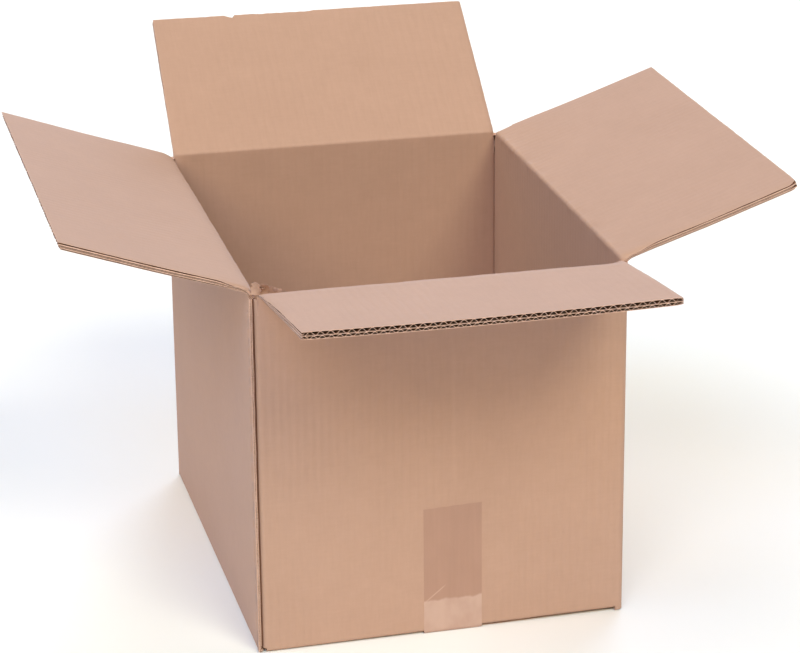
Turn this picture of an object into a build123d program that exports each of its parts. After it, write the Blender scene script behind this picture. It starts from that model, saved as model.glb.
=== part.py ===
from build123d import *
import math
import os

os.makedirs("parts", exist_ok=True)

# ---------------------------------------------------------------------------
# Open carton of double-wall corrugated board. Millimetres.
# Origin: middle of the base, on the plane the carton stands on. +Z up.
# X runs along the two short panels (front at -Y, back at +Y),
# Y along the two long panels (left at -X, right at +X).
# ---------------------------------------------------------------------------
INNER_W = 300.0          # inside, along X
INNER_L = 380.0          # inside, along Y
T = 6.4                  # board thickness
LINER = 0.30             # each of the three flat papers
PAPER = 0.25             # each of the two fluted papers
B_H, B_PITCH = 2.35, 6.5     # fine flute, on the outside of the carton
C_H, C_PITCH = 3.15, 7.8     # coarse flute, on the inside
TAPE_T, TAPE_W = 0.07, 50.0  # packing tape

XO, YO = INNER_W / 2 + T, INNER_L / 2 + T      # outer faces of the walls
XI, YI = INNER_W / 2, INNER_L / 2
ZB = TAPE_T                                    # underside of the board
GAP = 0.3                                      # clearance at every fold line

# fold lines of the four top flaps: on the outer face of their wall
LONG_Z = 309.4           # fold line height, left and right flaps (outer flaps)
LONG_OFF = 0.1           # flap's outer face from the fold line
SHORT_Z = 306.1          # fold line height, front and back flaps (inner flaps)
SHORT_OFF = 3.5          # they fold shut one board lower than the outer flaps
FLAP = 156.0             # fold line to free edge
LONG_HALF = 191.7        # half width of a left or right flap, along Y
SHORT_HALF = 149.7       # half width of a front or back flap, along X

# how far each flap is folded out from straight up, degrees
A_FRONT, A_BACK, A_LEFT, A_RIGHT = 83.8, 52.6, 70.8, 70.9

LONG_TOP = LONG_Z - LONG_OFF - T - GAP         # top of the left and right walls
SHORT_TOP = SHORT_Z - SHORT_OFF - T - GAP      # top of the front and back walls
RIB = SHORT_OFF - GAP                          # crushed fold along a short wall
CORNER_BOTTOM = 2.6                            # slot ends at the base corners
TAB_T, TAB_W = 5.6, 35.0                       # glue tab, crushed a little
TAPE_X = 7.2                                   # middle of the tape, along X
TAPE_FRONT, TAPE_BACK = 114.0, 75.0            # how high the tape runs up


# ---------------------------------------------------------------------------
def prism(plane, points, length):
    """Straight prism: points in the plane's own x, y, extruded along its z."""
    wire = Wire.make_polygon([plane.from_local_coords(Vector(a, b, 0)) for a, b in points], close=True)
    return Solid.extrude(Face(wire), plane.z_dir * length)


def block(x0, x1, y0, y1, z0, z1):
    return prism(Plane((0, 0, z0)), [(x0, y0), (x1, y0), (x1, y1), (x0, y1)], z1 - z0)


def flutes(half, h, pitch, base):
    """Air channels either side of one fluted paper, across a board of half
    width `half`: trapezoids in (across, through). `base` is the height of the
    layer's lower side."""
    out = []

    def top(u):     # upper side of the fluted paper, u in pitches
        amp = (h - PAPER) / 2
        slope = amp * 2 * math.pi / pitch * math.sin(2 * math.pi * u)
        return h / 2 + amp * math.cos(2 * math.pi * u) + PAPER / 2 * math.hypot(1, slope)

    z = top(0.36)
    n = int((2 * half - 3.0) // pitch)
    start = -n * pitch / 2
    for i in range(n):
        a = start + i * pitch
        out.append([(a + 0.08 * pitch, base + h), (a + 0.36 * pitch, base + z),
                    (a + 0.64 * pitch, base + z), (a + 0.92 * pitch, base + h)])
        if i < n - 1:
            b = a + pitch / 2
            out.append([(b + 0.08 * pitch, base), (b + 0.92 * pitch, base),
                        (b + 0.64 * pitch, base + h - z), (b + 0.36 * pitch, base + h - z)])
    return out


def board_channels(half):
    """Channels of the whole double-wall board, outer face at 0, inner at T."""
    return (flutes(half, B_H, B_PITCH, LINER)
            + flutes(half, C_H, C_PITCH, 2 * LINER + B_H))


def edge_grooves(half, depth):
    """A cut edge that runs along the flutes: open between its flat papers."""
    g = []
    for lo, hi in ((LINER, LINER + B_H), (2 * LINER + B_H, T - LINER)):
        for s in (-1, 1):
            a, b = sorted((s * (half - depth), s * (half + 1)))
            g.append([(a, lo), (b, lo), (b, hi), (a, hi)])
    return g


# ---------------------------------------------------------------------------
# the four top flaps
def flap(origin, along, out0, up0, angle, half, off, root_outer, root_inner, shut=9.0):
    """One flap. `out0` points out of its wall, `up0` is +Z; the flap leaves
    its fold line at `angle` from straight up. Flutes run from the fold, where
    they are crushed shut, to the free edge, where they are open."""
    a = math.radians(angle)
    s = out0 * math.sin(a) + up0 * math.cos(a)
    n = up0 * math.sin(a) - out0 * math.cos(a)
    side = Plane(origin - along * half, x_dir=s, z_dir=along)   # local: s, n'
    sign = 1 if side.y_dir.dot(n) > 0 else -1
    profile = [(root_outer, off * sign), (FLAP, off * sign),
               (FLAP, (off + T) * sign), (root_inner, (off + T) * sign)]
    body = prism(side, profile, 2 * half)
    sec = Plane(origin, x_dir=along, z_dir=s)
    sg = 1 if sec.y_dir.dot(n) > 0 else -1
    cuts = []
    for poly in board_channels(half - 1.5):
        pl = Plane(origin + s * shut, x_dir=along, z_dir=s)
        cuts.append(prism(pl, [(w, (off + h) * sg) for w, h in poly], FLAP - shut + 1))
    for poly in edge_grooves(half, 1.0):
        pl = Plane(origin + s * shut, x_dir=along, z_dir=s)
        cuts.append(prism(pl, [(w, (off + h) * sg) for w, h in poly], FLAP - shut + 1))
    return body, cuts, s, n


X, Y, Z = Vector(1, 0, 0), Vector(0, 1, 0), Vector(0, 0, 1)


def finish(body, cuts):
    res = body.cut(*cuts)
    solids = res.solids() if hasattr(res, "solids") else ShapeList([res])
    return max(solids, key=lambda q: q.volume)


parts = {}
b, c, s, n = flap(Vector(0, -YO, SHORT_Z), X, -Y, Z, A_FRONT, SHORT_HALF, SHORT_OFF,
                  SHORT_OFF, SHORT_OFF + 1.2)
parts["front_flap"] = finish(b, c)

b, c, s, n = flap(Vector(0, YO, SHORT_Z), -X, Y, Z, A_BACK, SHORT_HALF, SHORT_OFF,
                  SHORT_OFF, SHORT_OFF + 1.2)
# a small nick torn out of the free edge, left of the middle
nick = Plane(Vector(-77, YO, SHORT_Z) + s * (FLAP + 1) + n * (SHORT_OFF - 1), x_dir=X, z_dir=n)
c.append(prism(nick, [(-4, 2), (5, 2), (5, -2), (3.5, -3.2), (-2.5, -3.0), (-4, -1.6)], T + 2))
parts["back_flap"] = finish(b, c)

b, c, s, n = flap(Vector(-XO, 0, LONG_Z), -Y, -X, Z, A_LEFT, LONG_HALF, LONG_OFF, 0.4, 3.4)
parts["left_flap"] = finish(b, c)

b, c, s, n = flap(Vector(XO, 0, LONG_Z), Y, X, Z, A_RIGHT, LONG_HALF, LONG_OFF, 0.4, 3.4)
# its free corner nearest the front is bumped and rounded off
bump = Plane(Vector(XO, -LONG_HALF, LONG_Z) + s * FLAP + n * (LONG_OFF - 1), x_dir=s, z_dir=n)
k = 1 if bump.y_dir.dot(Y) > 0 else -1
c.append(prism(bump, [(1, 4.2 * k), (1, -1 * k), (-4.2, -1 * k), (-4.2, 0), (-1.6, 0.5 * k),
                      (-0.5, 1.6 * k), (0, 4.2 * k)], T + 2))
parts["right_flap"] = finish(b, c)

# ---------------------------------------------------------------------------
# the carton itself: one folded sheet. Four walls, glue tab, and the four base
# flaps folded shut: front and back ones inside, left and right ones outside.
solid = []
cuts = []
MAJOR_HALF = YI - GAP                 # base flaps fit between the slots
for sx in (-1, 1):
    # wall, rounded base fold, outer base flap and crushed top fold: one section
    sec = [(sx * XO, LONG_Z - 0.1), (sx * XO, ZB + 4.0), (sx * (XO - 0.55), ZB + 1.9),
           (sx * (XO - 2.0), ZB + 0.5), (sx * (XO - 4.2), ZB), (sx * 0.4, ZB),
           (sx * 0.4, ZB + T), (sx * XI, ZB + T), (sx * XI, LONG_TOP), (sx * (XO - 3.0), LONG_TOP)]
    p = Plane((0, -MAJOR_HALF, 0), x_dir=X, z_dir=Y)            # local y is -Z
    solid.append(prism(p, [(a, -q) for a, q in sec], 2 * MAJOR_HALF))

# corner posts: fold lines of the walls, and the left wall's raw end at the front
R = 5.0
arc = [(XO, YO - R), (XO - 0.42, YO - 2.95), (XO - 1.5, YO - 1.3), (XO - 3.0, YO - 0.35), (XO - R, YO)]
post = [(XI - 0.01, MAJOR_HALF), (XO, MAJOR_HALF)] + arc + [(XI - 0.01, YO)]
for sx, sy in ((1, -1), (1, 1), (-1, 1)):
    solid.append(prism(Plane((0, 0, CORNER_BOTTOM)), [(sx * a, sy * q) for a, q in post],
                       LONG_TOP - CORNER_BOTTOM))
solid.append(block(-XO, -XI, -YO + 0.6, -MAJOR_HALF, CORNER_BOTTOM, LONG_TOP))

for sy in (-1, 1):
    zf = 0.3 if sy < 0 else 1.6
    w = [(sy * YO, SHORT_Z), (sy * YO, zf + 3.2), (sy * (YO - 0.5), zf + 1.4), (sy * (YO - 1.7), zf + 0.3),
         (sy * (YO - 3.2), zf), (sy * (YO - 4.9), zf + 0.7), (sy * (YO - 5.9), zf + 2.6),
         (sy * YI, ZB + T + 0.4), (sy * YI, SHORT_TOP), (sy * (YO - RIB), SHORT_TOP),
         (sy * (YO - RIB), SHORT_Z)]
    p = Plane((-XI, 0, 0), x_dir=Y, z_dir=X)                   # local y is Z
    solid.append(prism(p, w, 2 * XI))
    # rounded top of the crushed fold
    rt = [(sy * YO, SHORT_Z), (sy * YO, SHORT_Z + RIB), (sy * (YO - 0.5 * RIB), SHORT_Z + 0.866 * RIB),
          (sy * (YO - 0.866 * RIB), SHORT_Z + 0.5 * RIB), (sy * (YO - RIB), SHORT_Z)]
    p = Plane((-SHORT_HALF, 0, 0), x_dir=Y, z_dir=X)
    solid.append(prism(p, rt, 2 * SHORT_HALF))
    # inner base flap, resting on the outer ones
    lo, hi = ZB + T + 0.4, ZB + T + 0.4 + T
    y0, y1 = sorted((sy * (YO - FLAP), sy * (YI + 0.5)))
    solid.append(block(-SHORT_HALF, SHORT_HALF, y0, y1, lo, hi))

# glue tab: folded round from the front wall, glued inside the left wall
tab = [(-XI - 0.01, -YI - 0.5), (-XI - 0.01, -YI + TAB_W), (-XI + TAB_T - 2.2, -YI + TAB_W),
       (-XI + TAB_T, -YI + TAB_W - 3.0), (-XI + TAB_T, -YI - 0.5)]
tab_solid = prism(Plane((0, 0, ZB + 2 * T + 2.5)), tab, SHORT_TOP - 2.0 - (ZB + 2 * T + 2.5))
slant = prism(Plane((-XI - 1, 0, 0), x_dir=Y, z_dir=X),
              [(-YI + 4, SHORT_TOP + 1), (-YI + TAB_W + 2, SHORT_TOP + 1), (-YI + TAB_W + 2, SHORT_TOP - 14)],
              TAB_T + 2)
slant2 = prism(Plane((-XI - 1, 0, 0), x_dir=Y, z_dir=X),
               [(-YI + 4, ZB + 2 * T + 1), (-YI + TAB_W + 2, ZB + 2 * T + 1), (-YI + TAB_W + 2, ZB + 2 * T + 16)],
               TAB_T + 2)
solid.append(tab_solid.cut(slant, slant2).solids()[0])

body = solid[0].fuse(*solid[1:])
body = body.clean().solids()
print("body solids before flutes", [round(q.volume) for q in body])
body = max(body, key=lambda q: q.volume)

# the front wall folds into its glue tab with a rounded edge beside the raw end
cuts.append(prism(Plane((0, 0, -1)), [(-XI - 0.02, -YO - 1), (-XI + 5.0, -YO - 1), (-XI + 5.0, -YO),
                                      (-XI + 3.0, -YO + 0.35), (-XI + 1.5, -YO + 1.3),
                                      (-XI + 0.45, -YO + 2.95), (-XI, -YO + 5.0), (-XI - 0.02, -YO + 5.0)],
                  LONG_Z + 10))
# the front wall hangs lowest at its left end: its base fold rises to the right
cuts.append(prism(Plane((0, -YO - 1, 0), x_dir=X, z_dir=Y),
                  [(-XI - 1, 0.5), (XI + 0.005, 0.5), (XI + 0.005, -2.9)], T + 1.2))
# raw end of the left wall: open between its flat papers
for lo, hi in ((LINER, LINER + B_H), (2 * LINER + B_H, T - LINER)):
    cuts.append(block(-XO + lo, -XO + hi, -YO - 1, -YO + 3.2, CORNER_BOTTOM - 1, LONG_TOP + 1))

# flutes of the walls: open at the top fold, crushed shut at the base fold
for poly in board_channels(XI - 1.0):
    for sy in (-1, 1):
        pl = Plane((0, 0, ZB + 2 * T + 3.0))
        cuts.append(prism(pl, [(w, sy * (YO - h)) for w, h in poly], LONG_Z + 20))
for poly in board_channels(YI - 1.0):
    for sx in (-1, 1):
        pl = Plane((0, 0, ZB + T + 3.0))
        cuts.append(prism(pl, [(sx * (XO - h), w) for w, h in poly], LONG_Z + 20))
# flutes of the base flaps: open at their free edges
for poly in board_channels(SHORT_HALF - 1.5):
    for sy in (-1, 1):
        pl = Plane((0, sy * (YI - 4.0), 0), x_dir=X, z_dir=-sy * Y)
        k = 1 if pl.y_dir.Z > 0 else -1
        cuts.append(prism(pl, [(w, k * (ZB + T + 0.4 + h)) for w, h in poly], YI - 4.0 - (YO - FLAP) + 1))
for poly in board_channels(MAJOR_HALF - 1.5):
    for sx in (-1, 1):
        pl = Plane((sx * (XI - 4.0), 0, 0), x_dir=Y, z_dir=-sx * X)
        k = 1 if pl.y_dir.Z > 0 else -1
        cuts.append(prism(pl, [(w, k * (ZB + h)) for w, h in poly], XI - 4.0 - 0.4 + 0.2))
carton = body.cut(*cuts)
carton = sorted(carton.solids(), key=lambda q: -q.volume)
print("carton solids", [round(q.volume, 2) for q in carton][:6], "faces", len(carton[0].faces()))
parts["carton_body"] = carton[0]

# ---------------------------------------------------------------------------
# packing tape over the base seam and up both short walls
tp = [(-YO - TAPE_T, TAPE_FRONT), (-YO - TAPE_T, 1.2), (-YO + 1.15, 0.0), (YO - 1.15, 0.0),
      (YO + TAPE_T, 1.2), (YO + TAPE_T, TAPE_BACK), (YO, TAPE_BACK), (YO, 1.2 + 0.04),
      (YO - 1.2, TAPE_T), (-YO + 1.2, TAPE_T), (-YO, 1.2 + 0.04), (-YO, TAPE_FRONT)]
parts["packing_tape"] = prism(Plane((TAPE_X - TAPE_W / 2, 0, 0), x_dir=Y, z_dir=X), tp, TAPE_W)

for name, shape in parts.items():
    bb = shape.bounding_box()
    print(name, "volume", round(shape.volume, 1), "faces", len(shape.faces()), "valid", shape.is_valid,
          [round(v, 2) for v in (*bb.min, *bb.max)])
    export_step(shape, f"parts/{name}.step")
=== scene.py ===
import math

import bpy
import numpy as np
from mathutils import Matrix


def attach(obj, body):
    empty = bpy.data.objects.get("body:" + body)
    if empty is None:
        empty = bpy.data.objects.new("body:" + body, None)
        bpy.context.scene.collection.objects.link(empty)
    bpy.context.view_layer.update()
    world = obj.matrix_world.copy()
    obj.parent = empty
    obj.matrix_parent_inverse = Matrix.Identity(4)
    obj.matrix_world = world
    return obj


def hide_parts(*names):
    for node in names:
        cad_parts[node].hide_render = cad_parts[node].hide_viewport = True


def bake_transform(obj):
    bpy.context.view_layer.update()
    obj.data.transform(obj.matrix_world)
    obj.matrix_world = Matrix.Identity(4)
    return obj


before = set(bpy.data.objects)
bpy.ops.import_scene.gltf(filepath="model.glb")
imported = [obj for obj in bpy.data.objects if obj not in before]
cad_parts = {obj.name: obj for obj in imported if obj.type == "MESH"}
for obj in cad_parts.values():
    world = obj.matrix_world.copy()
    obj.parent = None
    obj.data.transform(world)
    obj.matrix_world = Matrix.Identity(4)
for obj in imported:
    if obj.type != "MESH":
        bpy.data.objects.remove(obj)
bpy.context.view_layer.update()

# ---------------------------------------------------------------------------
# dimensions, millimetres, as in the CAD model
T, LINER, PAPER = 6.4, 0.30, 0.25
B_H, B_PITCH = 2.35, 6.5            # fine flutes, under the outside liner
C_H, C_PITCH = 3.15, 7.8            # coarse flutes, under the inside liner
XO, YO, XI, YI = 156.4, 196.4, 150.0, 190.0
ZB = 0.07
LONG_Z, LONG_OFF = 309.4, 0.1
SHORT_Z, SHORT_OFF = 306.1, 3.5
FLAP = 156.0
LONG_HALF, SHORT_HALF, BASE_HALF = 191.7, 149.7, 189.7
A_FRONT, A_BACK, A_LEFT, A_RIGHT = 83.8, 52.6, 70.8, 70.9
CORNER_TOP, CORNER_BOTTOM = 310.5, 1.2
TAB_T, TAB_W = 5.6, 35.0
TAPE_X0, TAPE_X1, TAPE_FRONT, TAPE_BACK = -16.9, 32.6, 114.0, 75.0
LONG_CUT, SHORT_CUT = 299.0, 293.0  # where the walls hand over to the folds
V_CUT = 13.0                        # where the folds hand over to the flaps
M0, M1, M2, M3 = LINER, LINER + B_H, 2 * LINER + B_H, T - LINER   # layer limits

X, Y, Z = np.eye(3)


# ---------------------------------------------------------------------------
# smooth seeded noise
def noise1(x, size, seed):
    table = np.random.default_rng(seed).uniform(-1, 1, 1024)
    p = np.asarray(x, float) / size + 371.3
    i = np.floor(p).astype(int)
    f = p - i
    f = f * f * (3 - 2 * f)
    return table[i % 1024] * (1 - f) + table[(i + 1) % 1024] * f


def noise2(x, y, size, seed):
    table = np.random.default_rng(seed).uniform(-1, 1, (128, 128))
    p, q = np.asarray(x, float) / size + 57.7, np.asarray(y, float) / size + 43.1
    i, j = np.floor(p).astype(int), np.floor(q).astype(int)
    f, g = p - i, q - j
    f, g = f * f * (3 - 2 * f), g * g * (3 - 2 * g)
    a = table[i % 128, j % 128] * (1 - f) + table[(i + 1) % 128, j % 128] * f
    b = table[i % 128, (j + 1) % 128] * (1 - f) + table[(i + 1) % 128, (j + 1) % 128] * f
    return a * (1 - g) + b * g


def smooth(x):
    x = np.clip(x, 0, 1)
    return x * x * (3 - 2 * x)


def spaced(a, b, step, lo=(0, .3, .8, 1.6, 3, 5, 8), hi=(0, .3, .8, 1.6, 3, 5, 8), extra=()):
    """Positions from a to b: close together at the ends, `step` apart between."""
    p = [a + d for d in lo] + [b - d for d in hi]
    n = max(2, int(round((b - a) / step)))
    mid = [q for q in np.linspace(a, b, n + 1) if a + lo[-1] + .4 * step < q < b - hi[-1] - .4 * step]
    p = np.unique(np.round(np.array(p + mid + list(extra)), 4))
    return p[(p >= min(a, b)) & (p <= max(a, b))]


# ---------------------------------------------------------------------------
# mesh building: patches of quads, each with a "panel" map in metres along the
# sheet and a "rim" map: distance to the nearest cut edge, and to the fold
class Piece:
    def __init__(self):
        self.v, self.q, self.uv, self.rim, self.m, self.n = [], [], [], [], [], 0

    def grid(self, P, uv, mat, out, rim=None):
        a, b = P.shape[:2]
        idx = np.arange(a * b).reshape(a, b) + self.n
        q = np.stack([idx[:-1, :-1], idx[1:, :-1], idx[1:, 1:], idx[:-1, 1:]], -1).reshape(-1, 4)
        d1 = P[1:, 1:] - P[:-1, :-1]
        d2 = P[:-1, 1:] - P[1:, :-1]
        nrm = np.cross(d1, d2)
        out = np.broadcast_to(np.asarray(out, float), P.shape)[:-1, :-1]
        if (nrm * out).sum() < 0:
            q = q[:, ::-1]
        self.v.append(P.reshape(-1, 3))
        self.q.append(q)
        self.uv.append(np.broadcast_to(uv, P.shape[:2] + (2,)).reshape(-1, 2))
        if rim is None:
            rim = np.array([50.0, 50.0])
        self.rim.append(np.broadcast_to(rim, P.shape[:2] + (2,)).reshape(-1, 2))
        self.m.append(np.full(len(q), mat))
        self.n += a * b

    def sheet(self, fn, A, B, w0, w1, mats, uv, rim=None, ends=(1, 1, 1, 1), faces=(1, 1)):
        """A paper: fn(A, B, w) gives points; faces at w0 and w1, cut edges round it.
        mats: face at w0, face at w1, cut edge."""
        P0, P1 = fn(A, B, w0), fn(A, B, w1)
        up = P1 - P0
        if faces[0]:
            self.grid(P0, uv, mats[0], -up, rim)
        if faces[1]:
            self.grid(P1, uv, mats[1], up, rim)
        UV = np.broadcast_to(uv, P0.shape[:2] + (2,))
        for k, (sl, nx) in enumerate((((0, slice(None)), (1, slice(None))), ((-1, slice(None)), (-2, slice(None))),
                                      ((slice(None), 0), (slice(None), 1)), ((slice(None), -1), (slice(None), -2)))):
            if not ends[k]:
                continue
            e = np.stack([P0[sl], P1[sl]], 1)
            o = np.stack([P0[sl] - P0[nx]] * 2, 1)
            u = np.stack([UV[sl], UV[sl] + 0.3], 1)
            self.grid(e, u, mats[2], o)

    def make(self, name, materials, body=None, replaces=None, slot="board"):
        v = np.concatenate(self.v) / 1000.0
        q = np.concatenate(self.q)
        # drop quads with no area
        c = v[q]
        area = np.linalg.norm(np.cross(c[:, 2] - c[:, 0], c[:, 3] - c[:, 1]), axis=1)
        keep = area > 1e-12
        q, m = q[keep], np.concatenate(self.m)[keep]
        uv = np.concatenate(self.uv) / 1000.0
        rim = np.concatenate(self.rim) / 1000.0
        me = bpy.data.meshes.new(name)
        me.vertices.add(len(v))
        me.vertices.foreach_set("co", v.ravel())
        me.loops.add(len(q) * 4)
        me.loops.foreach_set("vertex_index", q.ravel())
        me.polygons.add(len(q))
        me.polygons.foreach_set("loop_start", np.arange(len(q)) * 4)
        me.polygons.foreach_set("material_index", m.astype(np.int32))
        me.polygons.foreach_set("use_smooth", np.ones(len(q), bool))
        a = me.uv_layers.new(name="panel")
        a.data.foreach_set("uv", uv[q.ravel()].ravel())
        a = me.uv_layers.new(name="rim")
        a.data.foreach_set("uv", rim[q.ravel()].ravel())
        me.update(calc_edges=True)
        me.validate()
        for mt in materials:
            me.materials.append(mt)
        ob = bpy.data.objects.new(name, me)
        bpy.context.scene.collection.objects.link(ob)
        if body:
            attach(ob, body)
        if replaces:
            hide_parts(replaces)
        return ob


# ---------------------------------------------------------------------------
# materials
class Nodes:
    def __init__(self, name):
        self.mat = bpy.data.materials.new(name)
        self.mat.use_nodes = True
        self.nt = self.mat.node_tree
        self.nt.nodes.clear()
        self.out = self.nt.nodes.new("ShaderNodeOutputMaterial")
        self.bsdf = self.nt.nodes.new("ShaderNodeBsdfPrincipled")
        self.nt.links.new(self.bsdf.outputs[0], self.out.inputs[0])

    def put(self, socket, value):
        if hasattr(value, "is_output"):
            self.nt.links.new(value, socket)
        elif value is not None:
            socket.default_value = value

    def node(self, kind, **props):
        n = self.nt.nodes.new(kind)
        for k, v in props.items():
            setattr(n, k, v)
        return n

    def math(self, op, a, b=None, c=None, clamp=False):
        n = self.node("ShaderNodeMath", operation=op, use_clamp=clamp)
        for s, v in zip(n.inputs, (a, b, c)):
            self.put(s, v)
        return n.outputs[0]

    def mul(self, a, b):
        return self.math("MULTIPLY", a, b)

    def add(self, a, b):
        return self.math("ADD", a, b)

    def sub(self, a, b):
        return self.math("SUBTRACT", a, b)

    def ramp(self, x, lo, hi, a=0.0, b=1.0):
        n = self.node("ShaderNodeMapRange", interpolation_type="SMOOTHSTEP")
        for s, v in zip(n.inputs, (x, lo, hi, a, b)):
            self.put(s, v)
        return n.outputs[0]

    def uv(self, name):
        return self.node("ShaderNodeUVMap", uv_map=name).outputs[0]

    def split(self, v):
        n = self.node("ShaderNodeSeparateXYZ")
        self.put(n.inputs[0], v)
        return n.outputs[0], n.outputs[1]

    def scaled(self, v, sx, sy, ox=0.0, oy=0.0):
        n = self.node("ShaderNodeMapping")
        self.put(n.inputs[0], v)
        n.inputs["Location"].default_value = (ox, oy, 0)
        n.inputs["Scale"].default_value = (sx, sy, 1)
        return n.outputs[0]

    def noise(self, v, scale=1.0, detail=2.0, rough=0.5):
        n = self.node("ShaderNodeTexNoise", noise_dimensions="2D")
        self.put(n.inputs["Vector"], v)
        n.inputs["Scale"].default_value = scale
        n.inputs["Detail"].default_value = detail
        n.inputs["Roughness"].default_value = rough
        return n.outputs[0]

    def mix(self, f, a, b, blend="MIX"):
        n = self.node("ShaderNodeMix", data_type="RGBA", blend_type=blend)
        self.put(n.inputs[0], f)
        self.put(n.inputs[6], a)
        self.put(n.inputs[7], b)
        return n.outputs[2]

    def bump(self, height, distance, strength=1.0):
        n = self.node("ShaderNodeBump")
        n.inputs["Strength"].default_value = strength
        n.inputs["Distance"].default_value = distance
        self.put(n.inputs["Height"], height)
        self.put(self.bsdf.inputs["Normal"], n.outputs[0])


def rgb(r, g, b):
    return (r, g, b, 1.0)


KRAFT = (0.500, 0.3125, 0.2375)


def tint(k, dr=1.0, dg=1.0, db=1.0):
    return rgb(KRAFT[0] * k * dr, KRAFT[1] * k * dg, KRAFT[2] * k * db)


def liner_material(name, pitch, painted_ridge_highlight=False):
    s = Nodes(name)
    uv = s.uv("panel")
    u, v = s.split(uv)
    edge, fold = s.split(s.uv("rim"))
    # clouds in the pulp, and streaks along and across the web
    cloud = s.noise(s.scaled(uv, 16, 16), 1.0, 3.0, 0.55)
    patch = s.noise(s.scaled(uv, 55, 70, 3, 9), 1.0, 3.0, 0.6)
    along = s.noise(s.scaled(uv, 420, 60, 7, 2), 1.0, 2.0, 0.6)
    across = s.noise(s.scaled(uv, 70, 480, 1, 5), 1.0, 2.0, 0.6)
    fine = s.noise(s.scaled(uv, 1500, 1500, 4, 4), 1.0, 2.0, 0.7)
    # washboard of the flutes under the paper
    wander = s.mul(s.sub(s.noise(s.scaled(uv, 30, 6), 1.0, 1.0), 0.5), 1.2)
    wave = s.math("SINE", s.add(s.mul(u, 2 * math.pi / (pitch / 1000.0)), wander))
    strength = s.ramp(s.noise(s.scaled(uv, 9, 7, 11, 3), 1.0, 2.0), 0.35, 0.7, 0.25, 1.0)
    wash = s.mul(wave, strength)
    # tone: random clouds and streaks, with faint painted shade stripes along the washboard
    val = s.add(s.mul(s.sub(cloud, 0.5), 0.16), s.mul(s.sub(patch, 0.5), 0.13))
    val = s.add(val, s.mul(s.sub(along, 0.5), 0.13))
    val = s.add(val, s.mul(s.sub(across, 0.5), 0.10))
    val = s.add(val, s.mul(s.sub(fine, 0.5), 0.06))
    # painted shade: the washboard ridges drawn as faint lighter and darker stripes in the colour
    val = s.add(val, s.mul(wash, 0.016))
    val = s.add(val, 0.5)
    col = s.mix(val, tint(0.80, 0.985, 0.97, 0.94), tint(1.20, 1.015, 1.03, 1.06))
    # dark and pale fibres
    fleck = s.noise(s.scaled(uv, 900, 380, 2, 8), 1.0, 3.0, 0.75)
    col = s.mix(s.ramp(fleck, 0.70, 0.80, 0.0, 0.22), col, tint(0.66, 0.97, 0.93, 0.9))
    pale = s.noise(s.scaled(uv, 350, 820, 5, 1), 1.0, 3.0, 0.75)
    col = s.mix(s.ramp(pale, 0.70, 0.80, 0.0, 0.16), col, tint(1.22))
    # painted highlight: a patchy lighter band along the middle of the fold
    fold_highlight = s.mul(s.ramp(s.math("ABSOLUTE", fold), 0.0, 0.0045, 1.0, 0.0),
                s.ramp(s.noise(s.scaled(uv, 160, 160, 6, 6), 1.0, 3.0, 0.6), 0.3, 0.7, 0.15, 0.8))
    col = s.mix(s.mul(fold_highlight, 0.30), col, tint(1.16, 1.0, 1.02, 1.05))
    # frayed, paler rim at the cut edges
    fray = s.noise(s.scaled(uv, 1300, 1300, 9, 3), 1.0, 2.0, 0.7)
    rimw = s.ramp(edge, 0.0, s.add(0.0004, s.mul(fray, 0.0012)), 1.0, 0.0)
    col = s.mix(s.mul(rimw, 0.45), col, tint(1.18, 1.0, 1.03, 1.08))
    if painted_ridge_highlight:
        # painted highlight: a faint lighter streak down the panel, standing for the light caught by one flute pressed
        # flat
        d = s.math("ABSOLUTE", s.sub(u, s.add(HIGHLIGHT_STREAK_X / 1000.0, s.mul(s.sub(cloud, 0.5), 0.002))))
        m = s.mul(s.ramp(d, 0.0, 0.0035, 1.0, 0.0),
                  s.mul(s.ramp(v, HIGHLIGHT_STREAK_Z0 / 1000.0, HIGHLIGHT_STREAK_Z0 / 1000.0 + 0.03, 0.0, 1.0),
                        s.ramp(v, HIGHLIGHT_STREAK_Z1 / 1000.0 - 0.04, HIGHLIGHT_STREAK_Z1 / 1000.0, 1.0, 0.0)))
        col = s.mix(s.mul(m, 0.15), col, tint(1.2, 1.0, 1.03, 1.06))
    s.put(s.bsdf.inputs["Base Color"], col)
    s.put(s.bsdf.inputs["Roughness"], s.add(0.78, s.mul(patch, 0.14)))
    s.bsdf.inputs["Specular IOR Level"].default_value = 0.22
    s.bsdf.inputs["Sheen Weight"].default_value = 0.06
    s.bsdf.inputs["Sheen Roughness"].default_value = 0.5
    h = s.add(s.mul(wash, 0.75), s.add(s.mul(fine, 0.25), s.mul(s.add(along, across), 0.30)))
    h = s.add(h, s.mul(patch, 0.7))
    s.bump(h, 0.00012, 0.8)
    return s.mat


# fluted papers: their own darker brown, made darker still as painted shade of the flute hollows
def medium_and_shade_material(name):
    s = Nodes(name)
    uv = s.uv("panel")
    a = s.noise(s.scaled(uv, 300, 60), 1.0, 3.0, 0.6)
    b = s.noise(s.scaled(uv, 1500, 900, 3, 3), 1.0, 2.0, 0.7)
    val = s.add(s.mul(a, 0.6), s.mul(b, 0.4))
    col = s.mix(val, tint(0.20, 1.12, 0.80, 0.66), tint(0.40, 1.10, 0.88, 0.76))
    s.put(s.bsdf.inputs["Base Color"], col)
    s.bsdf.inputs["Roughness"].default_value = 0.95
    s.bsdf.inputs["Specular IOR Level"].default_value = 0.15
    s.bump(val, 0.0001, 0.6)
    return s.mat


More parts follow.
